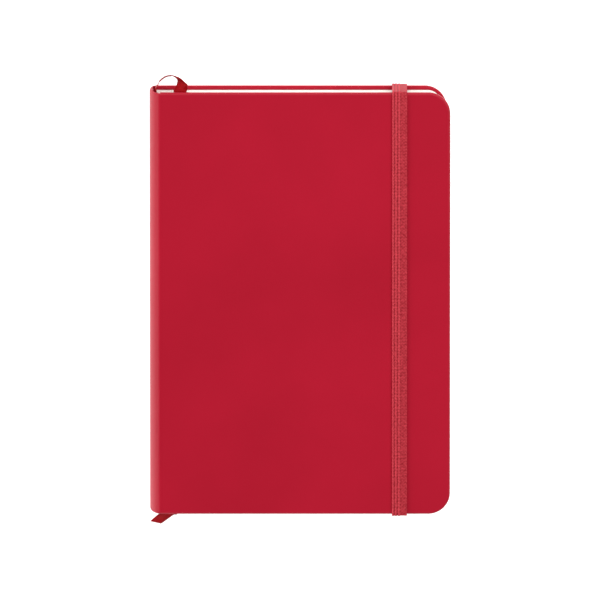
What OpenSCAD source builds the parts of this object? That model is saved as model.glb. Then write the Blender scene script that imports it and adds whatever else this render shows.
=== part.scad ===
// Pocket notebook: a hard case in smooth faux leather around a sewn page block,
// with a ribbon marker and an elastic closure band.
// Origin: on the back cover's outer face, midway across the width and height.
// +X is the fore-edge, +Y the head and +Z the front.

/* [Case] */
// Width from the spine to the fore-edge
case_w = 105; // [95:1:130]
// Height from the tail to the head
case_h = 151; // [140:1:190]
// Thickness of the closed notebook
case_t = 13.5; // [13:0.5:16]
// Radius of the two fore-edge corners of each cover
corner_r = 7.6; // [5:0.1:10]
// Distance from the outermost line of the spine to the flat front face
face_start = 3.7; // [3.2:0.1:4.4]
// How far the closed front cover stands past the back cover towards the fore-edge
lean = 1.3; // [0:0.1:1.6]

/* [Cover layers] */
// Thickness of the faux leather
skin_t = 0.4; // [0.3:0.05:0.5]
// Thickness of the cover boards where the leather is turned in over them
board_t = 1.1; // [0.8:0.1:1.4]
// Thickness of the leather turned in under the endpapers
turn_in_t = 0.2; // [0.15:0.05:0.25]
// Width of the leather turned in under the endpapers
turn_in_w = 12; // [8:1:16]
// Thickness of one endpaper leaf
endpaper_t = 0.2; // [0.15:0.01:0.22]
// Margin of cover left bare around each pasted endpaper
pastedown_margin = 2.6; // [2:0.1:4]

/* [Page block] */
// Number of sewn gatherings
gatherings = 8; // [8:1:8]
// How far the covers stand past the pages at head and tail
square_ht = 1.4; // [1.3:0.1:3]
// How far the covers stand past the pages at the fore-edge
square_fore = 2.2; // [2:0.1:4]
// Radius of the page corners
page_corner_r = 4.6; // [4:0.1:9]
// Distance from the outermost line of the spine to the folds of the pages
hollow_w = 3.2; // [2.8:0.1:4]
// Height of the gap that the ribbon lies in
ribbon_gap = 0.3; // [0.25:0.05:0.4]
// Thickness of the cloth glued over the folds
mull_t = 0.25; // [0.2:0.05:0.35]
// Thickness of the paper glued over the cloth
lining_t = 0.2; // [0.15:0.05:0.25]
// Diameter of the sewing thread
thread_d = 0.2; // [0.16:0.02:0.2]
// Number of stitches along each fold
stitches = 5; // [3:1:7]

/* [Ribbon marker] */
// Width of the ribbon
ribbon_w = 4.6; // [4:0.1:6]
// Thickness of the ribbon
ribbon_t = 0.2; // [0.15:0.01:0.22]
// How far the ribbon loops out past the head of the covers
loop_out = 5; // [3:0.5:8]
// How far the ribbon's end hangs out past the tail of the covers
tail_out = 4; // [2:0.2:12]

/* [Elastic band] */
// Width of the elastic
elastic_w = 5.25; // [4.5:0.25:6.5]
// Thickness of the elastic
elastic_t = 0.65; // [0.5:0.05:0.8]
// Place of the elastic's centre line, from the middle of the cover
elastic_x = 34.8; // [28:0.2:40]
// Distance of each elastic slot from the head or tail edge of the back cover
slot_in = 7; // [6:0.5:10]
// Length of elastic glued down inside the back cover
tab_l = 10; // [8:0.5:12]

/* [Hidden] */
$fn = 64;
// A hair of room between leaves and parts that only rest on each other
ease = 0.02;
// Places across the width
spine_x = -case_w / 2;
board_x = spine_x + face_start;
spine_depth = sqrt(pow(face_start - lean / 2, 2) - pow(lean / 2, 2));
fold_x = spine_x + hollow_w;
hinge_x = spine_x + 2;
page_fore_x = case_w / 2 - square_fore;
page_h = case_h - 2 * square_ht;
// Levels of the layers, from the back cover's outer face upwards
cover_t = skin_t + board_t + turn_in_t + endpaper_t;
block_top = case_t - cover_t;
first_top = block_top - endpaper_t;
block_low = cover_t + endpaper_t;
gathering_t = (first_top - block_low - ribbon_gap) / gatherings;
ribbon_low = first_top - gathering_t / 2 - ribbon_gap;
ribbon_mid = ribbon_low + ribbon_gap / 2;
// Levels at which the bare leather joint gives way to the stiffened spine
joint_top_z = case_t - 4.5;
joint_low_z = 3;
strip_t = 0.6;
// Level of the elastic's glued ends inside the back board
tab_low = cover_t - endpaper_t - elastic_t;
oval_steps = 16;
// Spine edge of the leaves that can turn
leaf_start = fold_x + 0.15;

// The closed notebook racks a little: how far a layer at level z stands from the front cover's
function lean_at(z) = lean * (z / case_t - 1);

// Cover shape seen from above, drawn in by inset on the three open edges
module cover_outline(inset = 0, from_x = board_x) {
    r = max(corner_r - inset, 1);
    right = case_w / 2 - inset;
    top = case_h / 2 - inset;
    rounded_fore_edge(from_x, right, top, r);
}

// Page shape seen from above
module page_outline(from_x = fold_x) {
    rounded_fore_edge(from_x, page_fore_x, page_h / 2, page_corner_r);
}

module rounded_fore_edge(left, right, top, r) {
    translate([left, -top]) square([right - r - left, 2 * top]);
    translate([left, r - top]) square([right - left, 2 * (top - r)]);
    for (side = [-1, 1]) translate([right - r, side * (top - r)]) circle(r = r);
}

module layer(low, high) {
    translate([0, 0, low]) linear_extrude(high - low) children();
}

// A layer moved with the racking of the closed notebook
module leant_layer(low, high) {
    translate([lean_at((low + high) / 2), 0, 0]) layer(low, high) children();
}

// The same solid laid the other way up, for the back cover
module facing_down() {
    translate([-lean, 0, case_t]) mirror([0, 0, 1]) children();
}

// Half oval of the spine's end view, drawn in by inset, with its ends run on past the boards' edges
function spine_oval(inset) = [
    for (i = [0:oval_steps])
        let (a = 90 + 180 * i / oval_steps, z = case_t / 2 + (case_t / 2 - inset) * sin(a))
        [board_x + lean_at(z) + (spine_depth - inset) * cos(a), z],
    [board_x + 1, inset],
    [board_x + 1, case_t - inset]
];

// Wall of the rounded spine between two depths and two levels, ended at a board's edge
module spine_wall(outer, inner, low, high, board_edge = board_x) {
    translate([0, case_h / 2, 0]) rotate([90, 0, 0]) linear_extrude(case_h)
        intersection() {
            difference() {
                polygon(spine_oval(outer));
                polygon(spine_oval(inner));
            }
            translate([spine_x - 1, low]) square([board_edge - spine_x + 1, high - low]);
        }
}

module bare_board() {
    layer(case_t - skin_t - board_t, case_t - skin_t) cover_outline(skin_t);
    layer(block_top + endpaper_t, block_top + endpaper_t + turn_in_t)
        cover_outline(turn_in_w);
}

module bare_skin() {
    difference() {
        layer(block_top + endpaper_t, case_t) cover_outline();
        layer(block_top, case_t - skin_t) translate([-1, 0]) cover_outline(skin_t);
        layer(block_top, case_t - skin_t) cover_outline(skin_t);
    }
    layer(block_top + endpaper_t, block_top + endpaper_t + turn_in_t) difference() {
        cover_outline(skin_t);
        cover_outline(turn_in_w);
    }
}

module elastic_slots() {
    for (side = [-1, 1]) mirror([0, side < 0 ? 1 : 0, 0]) {
        translate([elastic_x - elastic_w / 2, case_h / 2 - slot_in, -1])
            cube([elastic_w, slot_in + 1, 1 + elastic_t]);
        translate([elastic_x - elastic_w / 2, case_h / 2 - slot_in, -1])
            cube([elastic_w, elastic_t, case_t / 2]);
        translate([elastic_x - elastic_w / 2, case_h / 2 - slot_in - tab_l, tab_low])
            cube([elastic_w, tab_l + elastic_t, case_t / 2]);
    }
}

module front_board() {
    color("tan") bare_board();
}

module back_board() {
    color("tan") difference() {
        facing_down() bare_board();
        elastic_slots();
    }
}

module front_cover_skin() {
    color("crimson") bare_skin();
}

module back_cover_skin() {
    color("crimson") difference() {
        facing_down() bare_skin();
        elastic_slots();
    }
}

module front_joint_skin() {
    color("firebrick") spine_wall(0, skin_t, joint_top_z, case_t + 1);
}

module back_joint_skin() {
    color("firebrick") spine_wall(0, skin_t, -1, joint_low_z, board_x - lean);
}

module spine_skin() {
    color("crimson") spine_wall(0, skin_t, joint_low_z, joint_top_z);
}

module spine_strip() {
    color("burlywood") spine_wall(skin_t, skin_t + strip_t, joint_low_z, joint_top_z);
}

module pastedown() {
    layer(block_top + ease, block_top + endpaper_t)
        cover_outline(pastedown_margin, hinge_x + ease);
}

module front_pastedown() {
    color("ivory") pastedown();
}

module back_pastedown() {
    color("ivory") translate([-lean, 0, 0]) layer(cover_t - endpaper_t, cover_t)
        cover_outline(pastedown_margin, fold_x);
}

module front_flyleaf() {
    color("ivory") leant_layer(first_top + ease, block_top - ease) page_outline(leaf_start);
}

module back_flyleaf() {
    color("ivory") leant_layer(cover_t, block_low) page_outline();
}

// A gathering of folded sheets, round along its fold
module gathering(number) {
    low = block_low + (gatherings - number) * gathering_t;
    color("floralwhite") translate([lean_at(low + gathering_t / 2), 0, 0]) {
        layer(low, low + gathering_t) page_outline(fold_x + gathering_t / 2);
        translate([fold_x + gathering_t / 2, page_h / 2, low + gathering_t / 2])
            rotate([90, 0, 0]) cylinder(d = gathering_t, h = page_h);
    }
}

module first_gathering_front_leaves() {
    color("floralwhite") leant_layer(ribbon_low + ribbon_gap + ease, first_top)
        page_outline(leaf_start);
}

module first_gathering_back_leaves() {
    color("floralwhite") leant_layer(ribbon_low - gathering_t / 2, ribbon_low)
        page_outline(leaf_start);
}

// Stitches in the grooves between the folds, and along the open fold of the first gathering
module sewing_thread() {
    pitch = page_h / (stitches + 1);
    color("white") for (s = [1:stitches]) {
        for (g = [1:gatherings - 2])
            stitch(fold_x + thread_d / 2, s * pitch, block_low + g * gathering_t, 0.4 * pitch);
        stitch(fold_x + 1, s * pitch, ribbon_mid, 0.6 * pitch);
    }
}

module stitch(x, along, z, length) {
    translate([x + ease + lean_at(z), along - page_h / 2 + length / 2, z])
        rotate([90, 0, 0]) cylinder(d = thread_d, h = length);
}

// A sheet glued down the back of the folds, between two levels
module glued_sheet(away, thickness, length, low, high) {
    right = fold_x - ease - away;
    translate([0, length / 2, 0]) rotate([90, 0, 0]) linear_extrude(length)
        polygon([
            [right + lean_at(low), low], [right + lean_at(high), high],
            [right - thickness + lean_at(high), high], [right - thickness + lean_at(low), low]
        ]);
}

module spine_mull() {
    color("linen") glued_sheet(0, mull_t, 0.84 * page_h, block_low, ribbon_low);
}

module spine_lining_paper() {
    color("peru") glued_sheet(mull_t, lining_t, 0.92 * page_h, block_low + 0.6, ribbon_low - 0.6);
}

// Route of the ribbon: glued to the back of the folds, out at the head in a loop,
// down through the pages and out at the tail. Each point is followed by the
// direction that the ribbon's width lies in there, and by its share of the full width.
head_y = case_h / 2;
glue_x = fold_x + lean_at(6.5) - mull_t - lining_t - ribbon_t / 2 - 2 * ease;
upright = [lean / case_t, 0, 1];
ribbon_route = [
    [[glue_x, head_y - 36, 6.5], upright, 1],
    [[glue_x, head_y - 20, 6.5], upright, 1],
    [[glue_x, head_y - 2, 6.5], upright, 1],
    [[-49.6, head_y + 1.6, 6.9], [0, 0.15, 1], 1],
    [[-48.7, head_y + 3.2, 7.3], [-0.06, 0.28, 1], 1],
    [[-46.9, head_y + loop_out - 0.4, 7.7], [-0.03, 0.31, 1], 1],
    [[-45.2, head_y + loop_out, 8.1], [0.1, 0.31, 1], 1],
    [[-43.4, head_y + loop_out - 0.2, 8.6], [0.5, 0.05, 0.87], 1],
    [[-41.5, head_y + 3.4, 9.2], [0.62, -0.1, 0.78], 1],
    [[-41.1, head_y + 2.2, 9.8], [0.8, 0, 0.6], 1],
    [[-41.7, head_y + 0.3, 10.4], [1, 0, 0.1], 1],
    [[-41.9, head_y - 0.8, ribbon_mid], [1, 0, 0], 1],
    [[-42.3, 60, ribbon_mid], [1, 0, 0], 1],
    [[-43.4, 20, ribbon_mid], [1, 0, 0], 1],
    [[-44.4, -25, ribbon_mid], [1, 0, 0], 1],
    [[-44.9, -62, ribbon_mid], [1, 0, 0], 1],
    [[-45.3, -head_y + 0.8, ribbon_mid], [1, -0.1, 0], 1.1],
    [[-46.9, -head_y - 0.7, ribbon_mid - 0.15], [1, 0, 0], 1.2],
    [[-48.8, -head_y - 0.6 * tail_out, ribbon_mid - 1], [1, -0.12, 0], 1],
    [[-50.55, -head_y - tail_out, ribbon_mid - 1.9], [1, -0.22, 0], 0.85]
];

function unit(v) = v / norm(v);

// Corner points of the ribbon's section at one point of its route
function ribbon_section(i) =
    let (
        at = ribbon_route[i][0],
        ahead = ribbon_route[min(i + 1, len(ribbon_route) - 1)][0],
        behind = ribbon_route[max(i - 1, 0)][0],
        along = unit(ahead - behind),
        wide = unit(ribbon_route[i][1]),
        thick = unit(cross(along, wide)),
        w = wide * ribbon_route[i][2] * ribbon_w / 2,
        t = thick * ribbon_t / 2
    )
    [at - w - t, at + w - t, at + w + t, at - w + t];

module ribbon_marker() {
    n = len(ribbon_route);
    points = [for (i = [0:n - 1]) each ribbon_section(i)];
    sides = [
        for (i = [0:n - 2], k = [0:3])
            let (a = 4 * i + k, b = 4 * i + (k + 1) % 4)
            each [[a, b, b + 4], [a, b + 4, a + 4]]
    ];
    first_end = [[0, 3, 2], [0, 2, 1]];
    last = 4 * (n - 1);
    last_end = [[last, last + 1, last + 2], [last, last + 2, last + 3]];
    color("darkred") polyhedron(points, concat(sides, first_end, last_end));
}

module elastic_band() {
    left = elastic_x - elastic_w / 2;
    out = case_h / 2 + ease;
    color("indianred") {
        translate([left, -out, case_t + ease]) cube([elastic_w, 2 * out, elastic_t]);
        for (side = [-1, 1]) mirror([0, side < 0 ? 1 : 0, 0])
            translate([left, out, elastic_t + ease])
                cube([elastic_w, elastic_t, case_t]);
    }
}

// The end of the elastic: under the edge, along its recess, up through its slot
// and flat under the pasted endpaper
module elastic_end() {
    color("indianred") translate([elastic_x - elastic_w / 2, 0, 0]) {
        translate([0, case_h / 2 - slot_in, 0])
            cube([elastic_w, slot_in + ease + elastic_t, elastic_t]);
        translate([0, case_h / 2 - slot_in, 0]) cube([elastic_w, elastic_t, cover_t - endpaper_t]);
        translate([0, case_h / 2 - slot_in - tab_l, tab_low])
            cube([elastic_w, tab_l + elastic_t, elastic_t]);
    }
}

module elastic_end_head() {
    elastic_end();
}

module elastic_end_tail() {
    mirror([0, 1, 0]) elastic_end();
}

front_board();
back_board();
front_cover_skin();
back_cover_skin();
front_joint_skin();
back_joint_skin();
spine_skin();
spine_strip();
front_pastedown();
back_pastedown();
front_flyleaf();
back_flyleaf();
first_gathering_front_leaves();
first_gathering_back_leaves();
for (number = [2:gatherings])
    gathering(number);
sewing_thread();
spine_mull();
spine_lining_paper();
ribbon_marker();
elastic_band();
elastic_end_head();
elastic_end_tail();
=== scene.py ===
import math
import random
import bmesh
import bpy
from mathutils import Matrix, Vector


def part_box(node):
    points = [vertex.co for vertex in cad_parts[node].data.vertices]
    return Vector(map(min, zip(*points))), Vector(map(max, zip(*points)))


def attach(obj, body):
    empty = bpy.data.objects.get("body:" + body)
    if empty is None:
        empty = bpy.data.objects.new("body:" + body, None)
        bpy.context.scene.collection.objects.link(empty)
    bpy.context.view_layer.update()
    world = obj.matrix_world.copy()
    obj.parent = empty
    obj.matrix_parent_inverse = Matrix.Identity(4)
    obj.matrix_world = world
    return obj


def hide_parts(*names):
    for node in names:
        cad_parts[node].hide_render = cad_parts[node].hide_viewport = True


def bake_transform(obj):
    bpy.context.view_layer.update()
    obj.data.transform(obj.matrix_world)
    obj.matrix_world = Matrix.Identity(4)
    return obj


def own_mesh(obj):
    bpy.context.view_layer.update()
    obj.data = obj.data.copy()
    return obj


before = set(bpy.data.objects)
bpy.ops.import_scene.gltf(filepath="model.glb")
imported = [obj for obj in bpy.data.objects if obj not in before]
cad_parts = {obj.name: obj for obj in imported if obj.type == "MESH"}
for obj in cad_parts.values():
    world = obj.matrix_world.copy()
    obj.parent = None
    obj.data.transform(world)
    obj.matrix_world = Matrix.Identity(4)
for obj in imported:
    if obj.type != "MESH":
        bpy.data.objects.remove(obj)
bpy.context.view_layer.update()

mm = 0.001
hair = 1e-7  # places closer than this count as the same
frontLow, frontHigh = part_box("front_cover_skin")
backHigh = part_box("back_cover_skin")[1]
spineLow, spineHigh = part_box("spine_skin")
stripLow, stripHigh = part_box("spine_strip")
leavesLow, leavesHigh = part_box("first_gathering_front_leaves")
bandLow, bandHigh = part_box("elastic_band")
spineX = spineLow.x
boardX = frontLow.x
foreX = frontHigh.x
headY = frontHigh.y
caseT = frontHigh.z
lean = foreX - backHigh.x  # the closed notebook racks: the front cover stands this far past the back one
bandX = (bandLow.x + bandHigh.x) / 2
print("frame loaded")

# camera, leaning past the head edge so that the head of the pages shows
camera = {
    "tilt": math.radians(12.8),
    "lens": 1700,
    "sensor": 36,
    "across": 209.9 * mm,
    "aim": (0, -0.08 * mm, 6.75 * mm),
    "clip": (0.1, 3),
}


def addCamera():
    data = bpy.data.cameras.new("camera")
    data.lens = camera["lens"]
    data.sensor_width = camera["sensor"]
    distance = camera["across"] * camera["lens"] / camera["sensor"]
    data.clip_start, data.clip_end = [distance * share for share in camera["clip"]]
    view = bpy.data.objects.new("camera", data)
    away = Vector((0, math.sin(camera["tilt"]), math.cos(camera["tilt"])))
    view.location = Vector(camera["aim"]) + away * distance
    view.rotation_euler = (-camera["tilt"], 0, 0)
    bpy.context.collection.objects.link(view)
    bpy.context.scene.camera = view


addCamera()
print("camera set")


# shader helpers

def addGroup(name, inputs, outputs):
    group = bpy.data.node_groups.new(name, "ShaderNodeTree")
    for label, kind, value in inputs:
        socket = group.interface.new_socket(name=label, in_out="INPUT", socket_type=kind)
        if value is not None:
            socket.default_value = value
    for label, kind in outputs:
        group.interface.new_socket(name=label, in_out="OUTPUT", socket_type=kind)
    return group, group.nodes.new("NodeGroupInput"), group.nodes.new("NodeGroupOutput")


def wire(tree, source, target):
    tree.links.new(source, target)


def mathNode(tree, operation, first, second=None):
    node = tree.nodes.new("ShaderNodeMath")
    node.operation = operation
    for socket, value in zip(node.inputs, (first, second)):
        if isinstance(value, (int, float)):
            socket.default_value = value
        elif value is not None:
            wire(tree, value, socket)
    return node.outputs[0]


def mixColour(tree, factor, dark, light):
    node = tree.nodes.new("ShaderNodeMix")
    node.data_type = "RGBA"
    wire(tree, factor, node.inputs[0])
    for socket, value in ((node.inputs[6], dark), (node.inputs[7], light)):
        if isinstance(value, tuple):
            socket.default_value = (*value, 1)
        else:
            wire(tree, value, socket)
    return node.outputs[2]


def noiseNode(tree, vector, scale, detail=2.0, rough=0.5):
    node = tree.nodes.new("ShaderNodeTexNoise")
    if isinstance(scale, (int, float)):
        node.inputs["Scale"].default_value = scale
    else:
        wire(tree, scale, node.inputs["Scale"])
    node.inputs["Detail"].default_value = detail
    node.inputs["Roughness"].default_value = rough
    wire(tree, vector, node.inputs["Vector"])
    return node.outputs["Fac"]


def makeMottleGroup():
    group, source, target = addGroup(
        "softMottle",
        [
            ("Vector", "NodeSocketVector", None),
            ("Scale", "NodeSocketFloat", 40),
            ("Contrast", "NodeSocketFloat", 1),
        ],
        [("Mask", "NodeSocketFloat")],
    )
    cloud = noiseNode(group, source.outputs["Vector"], source.outputs["Scale"], detail=3)
    centred = mathNode(group, "SUBTRACT", cloud, 0.5)
    spread = mathNode(group, "MULTIPLY", centred, source.outputs["Contrast"])
    lifted = mathNode(group, "ADD", spread, 0.5)
    clamp = group.nodes.new("ShaderNodeClamp")
    wire(group, lifted, clamp.inputs["Value"])
    wire(group, clamp.outputs[0], target.inputs["Mask"])
    return group


def makeGrainGroup():
    group, source, target = addGroup(
        "fineGrain",
        [
            ("Vector", "NodeSocketVector", None),
            ("Scale", "NodeSocketFloat", 1500),
            ("Pores", "NodeSocketFloat", 0.5),
        ],
        [("Height", "NodeSocketFloat"), ("Mask", "NodeSocketFloat")],
    )
    cells = group.nodes.new("ShaderNodeTexVoronoi")
    cells.feature = "SMOOTH_F1"
    wire(group, source.outputs["Vector"], cells.inputs["Vector"])
    wire(group, source.outputs["Scale"], cells.inputs["Scale"])
    fineScale = mathNode(group, "MULTIPLY", source.outputs["Scale"], 0.6)
    fine = noiseNode(group, source.outputs["Vector"], fineScale, detail=4)
    pores = mathNode(group, "MULTIPLY", cells.outputs["Distance"], source.outputs["Pores"])
    height = mathNode(group, "SUBTRACT", fine, pores)
    wire(group, height, target.inputs["Height"])
    wire(group, fine, target.inputs["Mask"])
    return group


mottleGroup = makeMottleGroup()
grainGroup = makeGrainGroup()


def place(tree, group, vector, **values):
    node = tree.nodes.new("ShaderNodeGroup")
    node.node_tree = group
    wire(tree, vector, node.inputs["Vector"])
    for label, value in values.items():
        node.inputs[label.capitalize()].default_value = value
    return node


def newMaterial(name, roughness=0.5, **sockets):
    material = bpy.data.materials.new(name)
    material.use_nodes = True
    tree = material.node_tree
    shader = tree.nodes["Principled BSDF"]
    shader.inputs["Roughness"].default_value = roughness
    for label, value in sockets.items():
        shader.inputs[label.replace("_", " ")].default_value = value
    where = tree.nodes.new("ShaderNodeTexCoord")
    return material, tree, shader, where.outputs["Object"]


def addBump(tree, shader, height, distance, strength=1.0):
    bump = tree.nodes.new("ShaderNodeBump")
    bump.inputs["Strength"].default_value = strength
    bump.inputs["Distance"].default_value = distance
    wire(tree, height, bump.inputs["Height"])
    wire(tree, bump.outputs["Normal"], shader.inputs["Normal"])


def vary(tree, mask, low, high, most=1.0):
    span = tree.nodes.new("ShaderNodeMapRange")
    span.inputs["From Max"].default_value = most
    span.inputs["To Min"].default_value = low
    span.inputs["To Max"].default_value = high
    wire(tree, mask, span.inputs["Value"])
    return span.outputs[0]


# smooth faux leather
leather = {
    "deep": (0.37, 0.003, 0.018),
    "bright": (0.45, 0.005, 0.025),
    "specular": 0.22,
    "cloudScale": 22,
    "cloudContrast": 1.8,
    "grainScale": 1700,
    "grainDepth": 0.035 * mm,
    "pores": 0.5,
    "speck": 0.35,
    "bump": 0.55,
    "roughness": (0.4, 0.5),
}


def makeLeather():
    material, tree, shader, place3d = newMaterial("redFauxLeather", Specular_IOR_Level=leather["specular"])
    cloud = place(
        tree, mottleGroup, place3d, scale=leather["cloudScale"], contrast=leather["cloudContrast"])
    grain = place(tree, grainGroup, place3d, scale=leather["grainScale"], pores=leather["pores"])
    base = mixColour(tree, cloud.outputs["Mask"], leather["deep"], leather["bright"])
    speck = vary(tree, grain.outputs["Mask"], 0.0, leather["speck"])
    wire(tree, mixColour(tree, speck, base, leather["deep"]), shader.inputs["Base Color"])
    wire(tree, vary(tree, grain.outputs["Mask"], *leather["roughness"]), shader.inputs["Roughness"])
    addBump(tree, shader, grain.outputs["Height"], leather["grainDepth"], leather["bump"])
    return material


# paper of the pages and endpapers, with faint ruling on the open faces
paper = {
    "page": (0.9, 0.87, 0.82),
    "shade": (0.82, 0.79, 0.73),
    "endpaper": (0.92, 0.9, 0.85),
    "line": (0.5, 0.52, 0.56),
    "lineStep": 6.5 * mm,
    "lineWide": 0.16 * mm,
    "lineMargin": 12 * mm,
    "level": 0.7,
    "specular": 0.2,
    "fibreScale": 900,
    "fibreDepth": 0.012 * mm,
    "pores": 0.2,
    "bump": 0.5,
    "cloudScale": 60,
    "cloudContrast": 1.4,
    "cloudShare": 0.25,
    "roughness": (0.78, 0.92),
}


def ruling(tree, place3d):
    axes = tree.nodes.new("ShaderNodeSeparateXYZ")
    wire(tree, place3d, axes.inputs[0])
    facing = tree.nodes.new("ShaderNodeSeparateXYZ")
    normal = tree.nodes.new("ShaderNodeTexCoord")
    wire(tree, normal.outputs["Normal"], facing.inputs[0])
    upward = mathNode(tree, "ABSOLUTE", facing.outputs["Z"])
    flat = mathNode(tree, "GREATER_THAN", upward, paper["level"])
    step = mathNode(tree, "WRAP", axes.outputs["Y"], paper["lineStep"])
    line = mathNode(tree, "LESS_THAN", step, paper["lineWide"])
    fromMiddle = mathNode(tree, "ABSOLUTE", axes.outputs["Y"])
    inside = mathNode(tree, "LESS_THAN", fromMiddle, headY - paper["lineMargin"])
    return mathNode(tree, "MULTIPLY", mathNode(tree, "MULTIPLY", line, inside), flat)


def makePaper(name, colour, ruled):
    material, tree, shader, place3d = newMaterial(name, 0.85, Specular_IOR_Level=paper["specular"])
    fibre = place(tree, grainGroup, place3d, scale=paper["fibreScale"], pores=paper["pores"])
    cloud = place(tree, mottleGroup, place3d, scale=paper["cloudScale"], contrast=paper["cloudContrast"])
    soft = vary(tree, cloud.outputs["Mask"], 0.0, paper["cloudShare"])
    base = mixColour(tree, soft, colour, paper["shade"])
    if ruled:
        base = mixColour(tree, ruling(tree, place3d), base, paper["line"])
    wire(tree, base, shader.inputs["Base Color"])
    wire(tree, vary(tree, fibre.outputs["Mask"], *paper["roughness"]), shader.inputs["Roughness"])
    addBump(tree, shader, fibre.outputs["Height"], paper["fibreDepth"], paper["bump"])
    return material


# satin ribbon, woven across its own length
ribbon = {
    "face": (0.38, 0.002, 0.006),
    # the darker colour below is painted shade standing in for the satin's creases
    "fold": (0.19, 0.001, 0.003),
    "width": 4.6 * mm,
    "threadStep": 0.22 * mm,
    "threadDepth": 0.02 * mm,
    "thick": 0.2 * mm,
    "steps": 8,
    "belowLeaves": 0.17 * mm,
    "specular": 0.08,
    "cloudScale": 400,
    "cloudContrast": 1.5,
    "foldShare": 0.6,
    "roughness": (0.45, 0.6),
    "bump": 0.6,
}


def makeRibbon():
    material, tree, shader, place3d = newMaterial("redSatin", Specular_IOR_Level=ribbon["specular"])
    uv = tree.nodes.new("ShaderNodeUVMap")
    uv.uv_map = "ribbonLength"
    axes = tree.nodes.new("ShaderNodeSeparateXYZ")
    wire(tree, uv.outputs["UV"], axes.inputs[0])
    turns = 2 * math.pi / ribbon["threadStep"]
    weft = mathNode(tree, "SINE", mathNode(tree, "MULTIPLY", axes.outputs["Y"], turns))
    warp = mathNode(tree, "SINE", mathNode(tree, "MULTIPLY", axes.outputs["X"], turns))
    weave = mathNode(tree, "MULTIPLY", weft, warp)
    # random patches mixed toward the darker colour are painted crease shade, not a second dye
    cloud = place(
        tree, mottleGroup, place3d, scale=ribbon["cloudScale"], contrast=ribbon["cloudContrast"])
    folded = vary(tree, cloud.outputs["Mask"], 0.0, ribbon["foldShare"])
    tone = mixColour(tree, folded, ribbon["face"], ribbon["fold"])
    wire(tree, tone, shader.inputs["Base Color"])
    wire(tree, vary(tree, weave, *ribbon["roughness"]), shader.inputs["Roughness"])
    addBump(tree, shader, weave, ribbon["threadDepth"], ribbon["bump"])
    return material


# woven elastic: three raised lengthwise cords on the spine side, a flat zigzag knit on the other
elastic = {
    # the bright colour is painted highlight on the raised cords and knit bumps, the dark one painted shade
    # in the valleys
    "cordHighlight": (0.68, 0.055, 0.078),
    "valleyShade": (0.24, 0.005, 0.012),
    "cords": (0.35 * mm, 1.4 * mm, 2.5 * mm),
    "cordHalf": 0.42 * mm,
    "cordHigh": 0.17 * mm,
    "sectionSteps": 42,
    "flatFrom": 2.95 * mm,
    "zigzag": 0.6 * mm,
    "knitStep": 1.1 * mm,
    "knitDepth": 0.05 * mm,
    "corner": 0.8 * mm,
    "cornerSteps": 6,
    "thick": 0.65 * mm,
    "lift": 0.02 * mm,
    "tuck": 1.4 * mm,
    "flattened": 0.05,
    "specular": 0.15,
    "fuzzScale": 1200,
    "fuzzContrast": 2.2,
    "ridgeHighlightShare": 0.6,
    "flatShare": 0.14,
    "knitHighlightShare": 0.1,
    "fuzzShare": 0.5,
    "roughness": (0.5, 0.7),
    "bump": 0.6,
}


def makeElastic():
    material, tree, shader, place3d = newMaterial("redElastic", 0.6, Specular_IOR_Level=elastic["specular"])
    axes = tree.nodes.new("ShaderNodeSeparateXYZ")
    wire(tree, place3d, axes.inputs[0])
    across = mathNode(tree, "SUBTRACT", axes.outputs["X"], bandLow.x)
    ridgeHighlight = 0.0
    for middle in elastic["cords"]:
        off = mathNode(tree, "ABSOLUTE", mathNode(tree, "SUBTRACT", across, middle))
        ridgeHighlight = mathNode(tree, "ADD", vary(tree, off, 1.0, 0.0, elastic["cordHalf"]), ridgeHighlight)
    along = mathNode(tree, "ADD", axes.outputs["Y"], axes.outputs["Z"])
    slant = mathNode(tree, "PINGPONG", across, elastic["zigzag"])
    zigzag = mathNode(tree, "ADD", along, slant)
    knit = mathNode(tree, "SINE", mathNode(tree, "MULTIPLY", zigzag, 2 * math.pi / elastic["knitStep"]))
    fuzz = place(
        tree, mottleGroup, place3d, scale=elastic["fuzzScale"], contrast=elastic["fuzzContrast"])
    flat = mathNode(tree, "GREATER_THAN", across, elastic["flatFrom"])
    # tone paints highlight on the cords and knit bumps and shade in the valleys; the flat side is lifted
    # out of that shade, and the fuzz adds random tone
    tone = 0.0
    for mask, share in ((ridgeHighlight, "ridgeHighlightShare"), (flat, "flatShare"), (knit, "knitHighlightShare"),
                        (fuzz.outputs["Mask"], "fuzzShare")):
        tone = mathNode(tree, "ADD", mathNode(tree, "MULTIPLY", mask, elastic[share]), tone)
    tint = mixColour(tree, vary(tree, tone, 0.0, 1.0), elastic["valleyShade"], elastic["cordHighlight"])
    wire(tree, tint, shader.inputs["Base Color"])
    wire(tree, vary(tree, fuzz.outputs["Mask"], *elastic["roughness"]), shader.inputs["Roughness"])
    addBump(tree, shader, knit, elastic["knitDepth"], elastic["bump"])
    return material


def makePlain(name, light, dark, scale, depth, roughness):
    material, tree, shader, place3d = newMaterial(name, roughness)
    grain = place(tree, grainGroup, place3d, scale=scale, pores=0.4)
    wire(tree, mixColour(tree, grain.outputs["Mask"], dark, light), shader.inputs["Base Color"])
    sheen = vary(tree, grain.outputs["Mask"], roughness - 0.06, roughness + 0.06)
    wire(tree, sheen, shader.inputs["Roughness"])
    addBump(tree, shader, grain.outputs["Height"], depth, 0.6)
    return material


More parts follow.
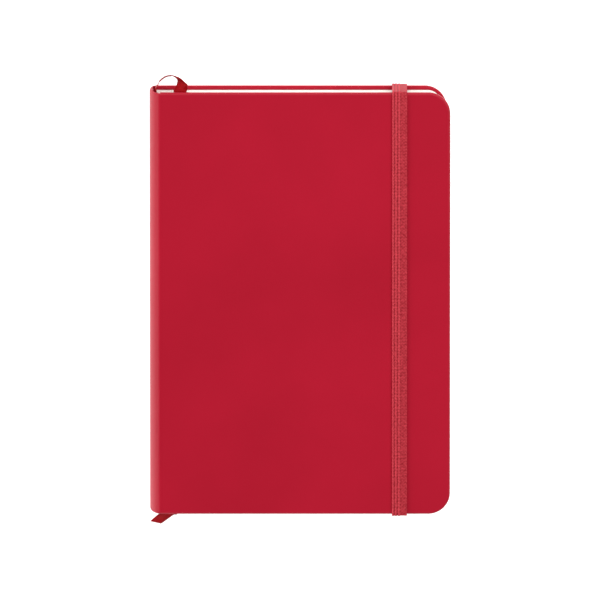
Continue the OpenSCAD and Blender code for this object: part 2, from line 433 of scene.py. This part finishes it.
leatherFinish = makeLeather()
pageFinish = makePaper("ruledPaper", paper["page"], True)
endpaperFinish = makePaper("endpaper", paper["endpaper"], False)
ribbonFinish = makeRibbon()
elasticFinish = makeElastic()
boardFinish = makePlain("greyBoard", (0.4, 0.33, 0.25), (0.26, 0.21, 0.16), 1200, 0.05 * mm, 0.85)
threadFinish = makePlain("waxedThread", (0.82, 0.8, 0.75), (0.6, 0.57, 0.5), 6000, 0.02 * mm, 0.6)
mullFinish = makePlain("bindingCloth", (0.78, 0.75, 0.68), (0.45, 0.42, 0.36), 2500, 0.06 * mm, 0.85)
liningFinish = makePlain("brownLining", (0.5, 0.36, 0.22), (0.36, 0.25, 0.15), 1500, 0.02 * mm, 0.8)
print("finishes made")


# mesh helpers

def finishPiece(bm, name, finish, body, nodes, sharp=40):
    mesh = bpy.data.meshes.new(name)
    bm.to_mesh(mesh)
    bm.free()
    mesh.shade_smooth()
    mesh.set_sharp_from_angle(angle=math.radians(sharp))
    mesh.materials.append(finish)
    piece = bpy.data.objects.new(name, mesh)
    bpy.context.collection.objects.link(piece)
    if body:
        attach(piece, body)
    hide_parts(*nodes)
    return piece


def addPlate(bm, low, high, left, right, halfHeight, corner, cornerSteps):
    places = ((left, -halfHeight), (right, -halfHeight), (right, halfHeight), (left, halfHeight))
    verts = [bm.verts.new((x, y, low)) for x, y in places]
    before = set(bm.faces)
    bm.faces.new(verts)
    bmesh.ops.bevel(
        bm, geom=[verts[1], verts[2]], offset=corner, segments=cornerSteps,
        profile=0.5, affect="VERTICES", material=-1)
    base = [face for face in bm.faces if face not in before]
    raised = bmesh.ops.extrude_face_region(bm, geom=base)
    top = [v for v in raised["geom"] if isinstance(v, bmesh.types.BMVert)]
    bmesh.ops.translate(bm, verts=top, vec=(0, 0, high - low))
    made = [face for face in bm.faces if face not in before]
    bmesh.ops.recalc_face_normals(bm, faces=made)
    return made


def facesSpine(face):
    return face.normal.x < -0.9


def rimEdges(faces, level, left):
    rims = set()
    for face in faces:
        for edge in face.edges:
            onLevel = all(abs(v.co.z - level) < hair for v in edge.verts)
            onSpine = all(abs(v.co.x - left) < hair for v in edge.verts)
            if onLevel and not onSpine and edge.calc_face_angle(0) > case["rimAngle"]:
                rims.add(edge)
    return list(rims)


def dragFace(bm, face, local, stations):
    # draws one end face along stations, each giving the place of a point of the face's own section
    for station in stations:
        face = bmesh.ops.extrude_discrete_faces(bm, faces=[face])["faces"][0]
        for vert, spot in zip(face.verts, local):
            vert.co = station(spot)
    return face


# case: one leather sheet over boards, hinges and rounded spine, made as a front half and a back half
case = {
    "corner": 7.6 * mm,
    "cornerSteps": 14,
    "rim": 0.75 * mm,
    "innerRim": 0.3 * mm,
    "rimSteps": 4,
    "rimAngle": 1,
    "skin": 0.4 * mm,
    "strip": 0.6 * mm,
    "support": 0.25 * mm,
    "spineSteps": 26,
    "pressed": 0.3 * mm,
    "slotIn": 7 * mm,
    "turnIn": 12 * mm,
    "stripSteps": 14,
    "jointStart": 0.2 * mm,
}


def ovalStation(angle, slope=lean / caseT):
    # a place on the rounded spine and the way out from it, racked by slope
    reach = boardX - spineX - lean / 2
    depth = math.sqrt(reach ** 2 - (lean / 2) ** 2)
    half = caseT / 2
    across, up = math.cos(angle), math.sin(angle)
    away = Vector((half * across, 0, depth * up - slope * half * across)).normalized()
    middle = Vector((boardX + depth * across + slope * half * (up - 1), 0, half + half * up))

    def station(spot):
        return Vector((0, spot[0], 0)) + middle - away * spot[1]

    return station


def buildCaseHalf(lastAngle, slope):
    bm = bmesh.new()
    addPlate(bm, frontLow.z, frontHigh.z, boardX, foreX, headY, case["corner"], case["cornerSteps"])
    for level, size in ((frontHigh.z, case["rim"]), (frontLow.z, case["innerRim"])):
        bmesh.ops.bevel(
            bm, geom=rimEdges(bm.faces, level, boardX), offset=size, segments=case["rimSteps"],
            profile=0.5, affect="EDGES", clamp_overlap=True, material=-1,
        )
    flats = [face for face in bm.faces if abs(face.normal.z) > 0.99 and face.calc_area() > 0.001]
    bmesh.ops.inset_region(bm, faces=flats, thickness=case["support"], use_even_offset=True)
    wall = [face for face in bm.faces if facesSpine(face)]
    walls = wall + [e for f in wall for e in f.edges] + [v for f in wall for v in f.verts]
    seam = frontHigh.z - case["skin"]
    bmesh.ops.bisect_plane(bm, geom=list(set(walls)), plane_co=(0, 0, seam), plane_no=(0, 0, 1))
    end = [f for f in bm.faces if facesSpine(f) and f.calc_center_median().z > seam][0]
    local = [(v.co.y, frontHigh.z - v.co.z) for v in end.verts]
    turn = lastAngle - math.pi / 2
    angles = [math.pi / 2 + turn * (i + 1) / case["spineSteps"] for i in range(case["spineSteps"])]
    dragFace(bm, end, local, [ovalStation(angle, slope) for angle in angles])
    return bm


def jointAngle(level):
    return math.pi - math.asin((level - caseT / 2) / (caseT / 2))


def makeCase():
    slope = lean / caseT
    front = buildCaseHalf(jointAngle(spineHigh.z), slope)
    piece = finishPiece(
        front, "caseFront", leatherFinish, None, ["front_cover_skin", "front_joint_skin"])
    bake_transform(piece)
    back = buildCaseHalf(jointAngle(caseT - spineHigh.z), -slope)
    bmesh.ops.scale(back, verts=back.verts, vec=(1, 1, -1))
    bmesh.ops.translate(back, verts=back.verts, vec=(-lean, 0, caseT))
    bmesh.ops.recalc_face_normals(back, faces=back.faces)
    pressElastic(back)
    finishPiece(
        back, "caseBack", leatherFinish, "book",
        ["back_cover_skin", "back_joint_skin", "spine_skin"])


def cut(bm, point, normal):
    geom = list(bm.verts) + list(bm.edges) + list(bm.faces)
    bmesh.ops.bisect_plane(bm, geom=geom, plane_co=point, plane_no=normal)


def pressElastic(bm):
    # short recesses that the elastic lies in on its way to its slots
    half = (bandHigh.x - bandLow.x) / 2 + elastic["lift"]
    inner = headY - case["slotIn"]
    for side in (-1, 1):
        for reach in (half, half + case["pressed"]):
            cut(bm, (bandX + side * reach, 0, 0), (1, 0, 0))
        for reach in (inner, inner - case["pressed"]):
            cut(bm, (0, side * reach, 0), (0, 1, 0))
    for vert in bm.verts:
        bedded = abs(vert.co.x - bandX) < half + 10 * hair and abs(vert.co.y) > inner - 10 * hair
        if bedded and vert.co.z < elastic["thick"]:
            vert.co.z = elastic["thick"]


def drawSpineWall(tail, head):
    # the stiffened part of the spine wall, between two places along its length
    bm = bmesh.new()
    thin, thick = case["skin"], case["skin"] + case["strip"]
    local = [(tail, thin), (head, thin), (head, thick), (tail, thick)]
    first = jointAngle(stripHigh.z)
    turn = jointAngle(stripLow.z) - first
    angles = [first + turn * i / case["stripSteps"] for i in range(case["stripSteps"] + 1)]
    start = ovalStation(angles[0])
    verts = [bm.verts.new(start(spot)) for spot in local]
    face = bm.faces.new(verts)
    dragFace(bm, face, local, [ovalStation(angle) for angle in angles[1:]])
    bm.faces.new(list(reversed(verts)))
    bmesh.ops.recalc_face_normals(bm, faces=bm.faces)
    return bm


def makeSpineStrip():
    # bare card in the middle, leather turned in over it at head and tail
    bare = headY - case["turnIn"]
    finishPiece(drawSpineWall(-bare, bare), "spineStrip", boardFinish, "book", ["spine_strip"])
    for name, tail, head in (("Head", bare, headY), ("Tail", -headY, -bare)):
        bm = drawSpineWall(tail, head)
        finishPiece(bm, "spineTurnIn" + name, leatherFinish, "book", ["spine_strip"])


makeCase()
makeSpineStrip()
print("case made")


# sewn gatherings of folded sheets
pages = {
    "gatherings": 8,
    "sheets": 6,
    "seed": 7,
    "corner": 4.6 * mm,
    "cornerSteps": 8,
    "gap": 0.012 * mm,
    "foldSteps": 8,
    "creep": 0.1 * mm,
    "leafBend": 7 * mm,
    "flyleafBend": 4 * mm,
    "bendCuts": 16,
}
paperDraw = random.Random(pages["seed"])


def addLeaf(bm, low, high, left, right):
    right -= paperDraw.random() * pages["creep"]
    half = leavesHigh.y - paperDraw.random() * pages["creep"] / 2
    return addPlate(bm, low, high, left, right, half, pages["corner"], pages["cornerSteps"])


def addSheet(bm, low, high, foldX, right, leafT):
    middle = (low + high) / 2
    radius = (high - low) / 2
    addLeaf(bm, low, low + leafT, foldX, right)
    upper = addLeaf(bm, high - leafT, high, foldX, right)
    end = [face for face in upper if facesSpine(face)][0]
    local = [(v.co.y, high - v.co.z) for v in end.verts]

    def around(angle):
        across, up = math.cos(angle), math.sin(angle)
        return lambda spot: Vector((
            foldX + (radius - spot[1]) * across, spot[0], middle + (radius - spot[1]) * up))

    angles = [math.pi / 2 + math.pi * (i + 1) / pages["foldSteps"] for i in range(pages["foldSteps"])]
    dragFace(bm, end, local, [around(angle) for angle in angles])


def makeGatherings():
    for number in range(2, pages["gatherings"] + 1):
        node = "gathering_" + str(number)
        low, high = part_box(node)
        half = (high.z - low.z) / 2
        step = half / pages["sheets"]
        bm = bmesh.new()
        for sheet in range(pages["sheets"]):
            inset = sheet * step
            addSheet(bm, low.z + inset, high.z - inset, low.x + half, high.x, step - pages["gap"])
        finishPiece(bm, "gathering" + str(number) + "Sheets", pageFinish, "book", [node])


def addLooseLeaves(bm, low, high, count):
    step = (high.z - low.z) / count
    for leaf in range(count):
        foot = low.z + leaf * step
        addLeaf(bm, foot, foot + step - pages["gap"], low.x, high.x)


def makeTurningLeaves(name, node, finish, count, zone):
    low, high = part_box(node)
    bm = bmesh.new()
    addLooseLeaves(bm, low, high, count)
    step = zone / pages["bendCuts"]
    for i in range(1, pages["bendCuts"] + 1):
        cut(bm, (low.x + i * step, 0, 0), (1, 0, 0))
    piece = finishPiece(bm, name, finish, None, [node])
    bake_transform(piece)


def makeFirstGathering():
    low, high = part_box("first_gathering_back_leaves")
    bm = bmesh.new()
    addLooseLeaves(bm, low, high, pages["sheets"])
    finishPiece(
        bm, "firstGatheringBackSheets", pageFinish, "book", ["first_gathering_back_leaves"])
    makeTurningLeaves(
        "firstGatheringFrontSheets", "first_gathering_front_leaves", pageFinish,
        pages["sheets"], pages["leafBend"])
    makeTurningLeaves(
        "frontFlyleaf", "front_flyleaf", endpaperFinish, 1, pages["flyleafBend"])


makeGatherings()
makeFirstGathering()
print("pages made")


# ribbon marker: glued to the folds, looped out at the head, laid between the leaves, out at the tail
# each point is a place in millimetres, the direction of the ribbon's width and its share of the full width
leafGap = (leavesLow.z - ribbon["belowLeaves"]) / mm
headOut = headY / mm
upright = (0.096, 0, 1)
ribbonRoute = [
    ((-50.56, headOut - 36, 6.5), upright, 1),
    ((-50.56, headOut - 20, 6.5), upright, 1),
    ((-50.56, headOut - 2, 6.5), upright, 1),
    ((-49.6, headOut + 1.6, 6.9), (0, 0.15, 1), 1),
    ((-48.7, headOut + 3.2, 7.3), (-0.06, 0.28, 1), 1),
    ((-46.9, headOut + 4.6, 7.7), (-0.03, 0.31, 1), 1),
    ((-45.2, headOut + 5, 8.1), (0.1, 0.31, 1), 1),
    ((-43.4, headOut + 4.8, 8.6), (0.5, 0.05, 0.87), 1),
    ((-41.5, headOut + 3.4, 9.2), (0.62, -0.1, 0.78), 1),
    ((-41.1, headOut + 2.2, 9.8), (0.8, 0, 0.6), 1),
    ((-41.7, headOut + 0.3, 10.4), (1, 0, 0.1), 1),
    ((-41.9, headOut - 0.8, leafGap), (1, 0, 0), 1),
    ((-42.3, 60, leafGap), (1, 0, 0), 1),
    ((-43.4, 20, leafGap), (1, 0, 0), 1),
    ((-44.4, -25, leafGap), (1, 0, 0), 1),
    ((-44.9, -62, leafGap), (1, 0, 0), 1),
    ((-45.3, 0.8 - headOut, leafGap), (1, -0.1, 0), 1.1),
    ((-46.9, -headOut - 0.7, leafGap - 0.15), (1, 0, 0), 1.2),
    ((-48.8, -headOut - 2.4, leafGap - 1), (1, -0.12, 0), 1),
    ((-50.55, -headOut - 4, leafGap - 1.9), (1, -0.22, 0), 0.85),
]


def curvePoint(a, b, c, d, t):
    square = 2 * a - 5 * b + 4 * c - d
    cube = 3 * b - a - 3 * c + d
    return 0.5 * (2 * b + (c - a) * t + square * t ** 2 + cube * t ** 3)


def alongRoute():
    spots = [Vector(spot) * mm for spot, wide, share in ribbonRoute]
    wides = [Vector(wide).normalized() * share * ribbon["width"] for spot, wide, share in ribbonRoute]
    last = len(spots) - 1
    for i in range(last):
        picks = [max(i - 1, 0), i, i + 1, min(i + 2, last)]
        for step in range(ribbon["steps"]):
            t = step / ribbon["steps"]
            wide = wides[i].lerp(wides[i + 1], t * t * (3 - 2 * t))
            yield curvePoint(*[spots[k] for k in picks], t), wide
    yield spots[last], wides[last]


def makeRibbonMarker():
    bm = bmesh.new()
    uv = bm.loops.layers.uv.new("ribbonLength")
    shares = [-0.5, -0.25, 0, 0.25, 0.5]
    rows = []
    length = 0
    previous = None
    verts = [bm.verts.new() for share in shares]
    edges = [bm.edges.new((verts[i], verts[i + 1])) for i in range(len(shares) - 1)]
    for spot, wide in alongRoute():
        if previous is not None:
            length += (spot - previous).length
            grown = bmesh.ops.extrude_edge_only(bm, edges=edges)["geom"]
            edges = [item for item in grown if isinstance(item, bmesh.types.BMEdge)]
            fresh = [item for item in grown if isinstance(item, bmesh.types.BMVert)]
            verts = sorted(fresh, key=lambda v: v.co.dot(lastWide))
        for vert, share in zip(verts, shares):
            vert.co = spot + wide * share
            rows.append((vert, share * ribbon["width"], length))
        previous, lastWide = spot, wide
    known = {vert: (across, along) for vert, across, along in rows}
    for face in bm.faces:
        for loop in face.loops:
            loop[uv].uv = known[loop.vert]
    piece = finishPiece(bm, "ribbonMarker", ribbonFinish, "book", ["ribbon_marker"], 180)
    thicken = piece.modifiers.new("thickness", "SOLIDIFY")
    thicken.thickness = ribbon["thick"]
    thicken.offset = 0
    print("ribbon length mm", round(length / mm, 1))


makeRibbonMarker()


# elastic band, ribbed section drawn along its path
def ribbedSection():
    half = (bandHigh.x - bandLow.x) / 2
    count = elastic["sectionSteps"]
    top = []
    for i in range(count + 1):
        across = 2 * half * i / count
        off = min(abs(across - middle) for middle in elastic["cords"]) / elastic["cordHalf"]
        rise = math.cos(min(off, 1) * math.pi / 2)
        top.append((across - half, elastic["cordHigh"] * (1 - rise)))
    return [(-half, elastic["thick"]), *top, (half, elastic["thick"])]


def bendStations(points, corner, steps):
    # outer path with rounded corners; yields each place with the direction that points outwards
    stations = []
    for i, point in enumerate(points):
        here = Vector(point)
        if i in (0, len(points) - 1):
            ahead = (Vector(points[1]) - here) if i == 0 else (here - Vector(points[i - 1]))
            ahead.normalize()
            stations.append((here, Vector((-ahead.y, ahead.x))))
            continue
        come = (here - Vector(points[i - 1])).normalized()
        leave = (Vector(points[i + 1]) - here).normalized()
        centre = here - come * corner + leave * corner
        first = Vector((-come.y, come.x))
        second = Vector((-leave.y, leave.x))
        for step in range(steps + 1):
            out = first.slerp(second, step / steps)
            side = 1 if first.dot(centre - here) < 0 else -1
            stations.append((centre + out * corner * side, out))
    return stations


def drawElastic(points, corner):
    bm = bmesh.new()
    section = ribbedSection()
    stations = bendStations(points, corner, elastic["cornerSteps"])
    first = [bm.verts.new() for spot in section]

    def at(here, out):
        return lambda spot: Vector((bandX + spot[0], here.x - out.x * spot[1], here.y - out.y * spot[1]))

    for vert, spot in zip(first, section):
        vert.co = at(*stations[0])(spot)
    face = bm.faces.new(first)
    local = [section[first.index(vert)] for vert in face.verts]
    dragFace(bm, face, local, [at(*station) for station in stations[1:]])
    bm.faces.new([vert for vert in reversed(first)])
    bmesh.ops.recalc_face_normals(bm, faces=bm.faces)
    return bm


def makeElasticParts():
    out = bandHigh.y
    top = bandHigh.z
    foot = bandLow.z
    bm = drawElastic([(-out, foot), (-out, top), (out, top), (out, foot)], elastic["corner"])
    band = finishPiece(bm, "elasticBand", elasticFinish, "elastic", ["elastic_band"], 50)
    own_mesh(band)
    inner = headY - case["slotIn"]
    for side, name in ((1, "head"), (-1, "tail")):
        bm = drawElastic([(out, foot), (out, 0), (inner, 0), (inner, elastic["tuck"])], elastic["thick"])
        if side < 0:
            bmesh.ops.scale(bm, verts=bm.verts, vec=(1, -1, 1))
            bmesh.ops.recalc_face_normals(bm, faces=bm.faces)
        finishPiece(
            bm, "elasticEnd" + name.capitalize(), elasticFinish, "book",
            ["elastic_end_" + name], 50)


makeElasticParts()
print("ribbon and elastic made")


# finishes on the carried-over pieces
def dressNodes():
    finishes = {
        "front_board": boardFinish,
        "back_board": boardFinish,
        "front_pastedown": endpaperFinish,
        "back_pastedown": endpaperFinish,
        "back_flyleaf": endpaperFinish,
        "sewing_thread": threadFinish,
        "spine_mull": mullFinish,
        "spine_lining_paper": liningFinish,
    }
    for node, finish in finishes.items():
        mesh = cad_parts[node].data
        mesh.materials.clear()
        mesh.materials.append(finish)


dressNodes()


# floor and lights
studio = {
    "floor": (0.92, 0.92, 0.92),
    "floorHalf": 12,
    "floorGlow": 0.6,
    "floorDrop": 0.05 * mm,
    "world": 0.15,
    "lights": [
        # name, place, size across and along, watts
        ("leftStrip", (-0.9, 0.05, 0.35), 1.4, 0.5, 7.5),
        ("rightBox", (0.9, 0.35, 0.9), 1.0, 1.0, 11),
        ("headBox", (-0.1, 1.1, 1.0), 1.4, 0.7, 12),
        ("tailBox", (-0.3, -1.3, 0.6), 1.2, 0.8, 7),
    ],
}


def addStudio():
    bm = bmesh.new()
    bmesh.ops.create_grid(bm, x_segments=1, y_segments=1, size=studio["floorHalf"])
    mesh = bpy.data.meshes.new("floor")
    bm.to_mesh(mesh)
    bm.free()
    material = newMaterial(
        "paleFloor", 0.9, Specular_IOR_Level=0.1, Base_Color=(*studio["floor"], 1),
        Emission_Color=(1, 1, 1, 1), Emission_Strength=studio["floorGlow"])[0]
    mesh.materials.append(material)
    floor = bpy.data.objects.new("floor", mesh)
    floor.location.z = -studio["floorDrop"]
    bpy.context.collection.objects.link(floor)
    world = bpy.data.worlds.new("studio")
    world.use_nodes = True
    world.node_tree.nodes["Background"].inputs["Color"].default_value = (1, 1, 1, 1)
    world.node_tree.nodes["Background"].inputs["Strength"].default_value = studio["world"]
    bpy.context.scene.world = world
    for name, spot, across, along, watts in studio["lights"]:
        data = bpy.data.lights.new(name, "AREA")
        data.shape = "RECTANGLE"
        data.size, data.size_y = across, along
        data.energy = watts
        lamp = bpy.data.objects.new(name, data)
        lamp.location = spot
        lamp.rotation_euler = (-Vector(spot)).to_track_quat("-Z", "Y").to_euler()
        lamp.visible_camera = False
        bpy.context.collection.objects.link(lamp)
    bpy.context.scene.view_settings.view_transform = "Standard"


addStudio()
print("studio set")
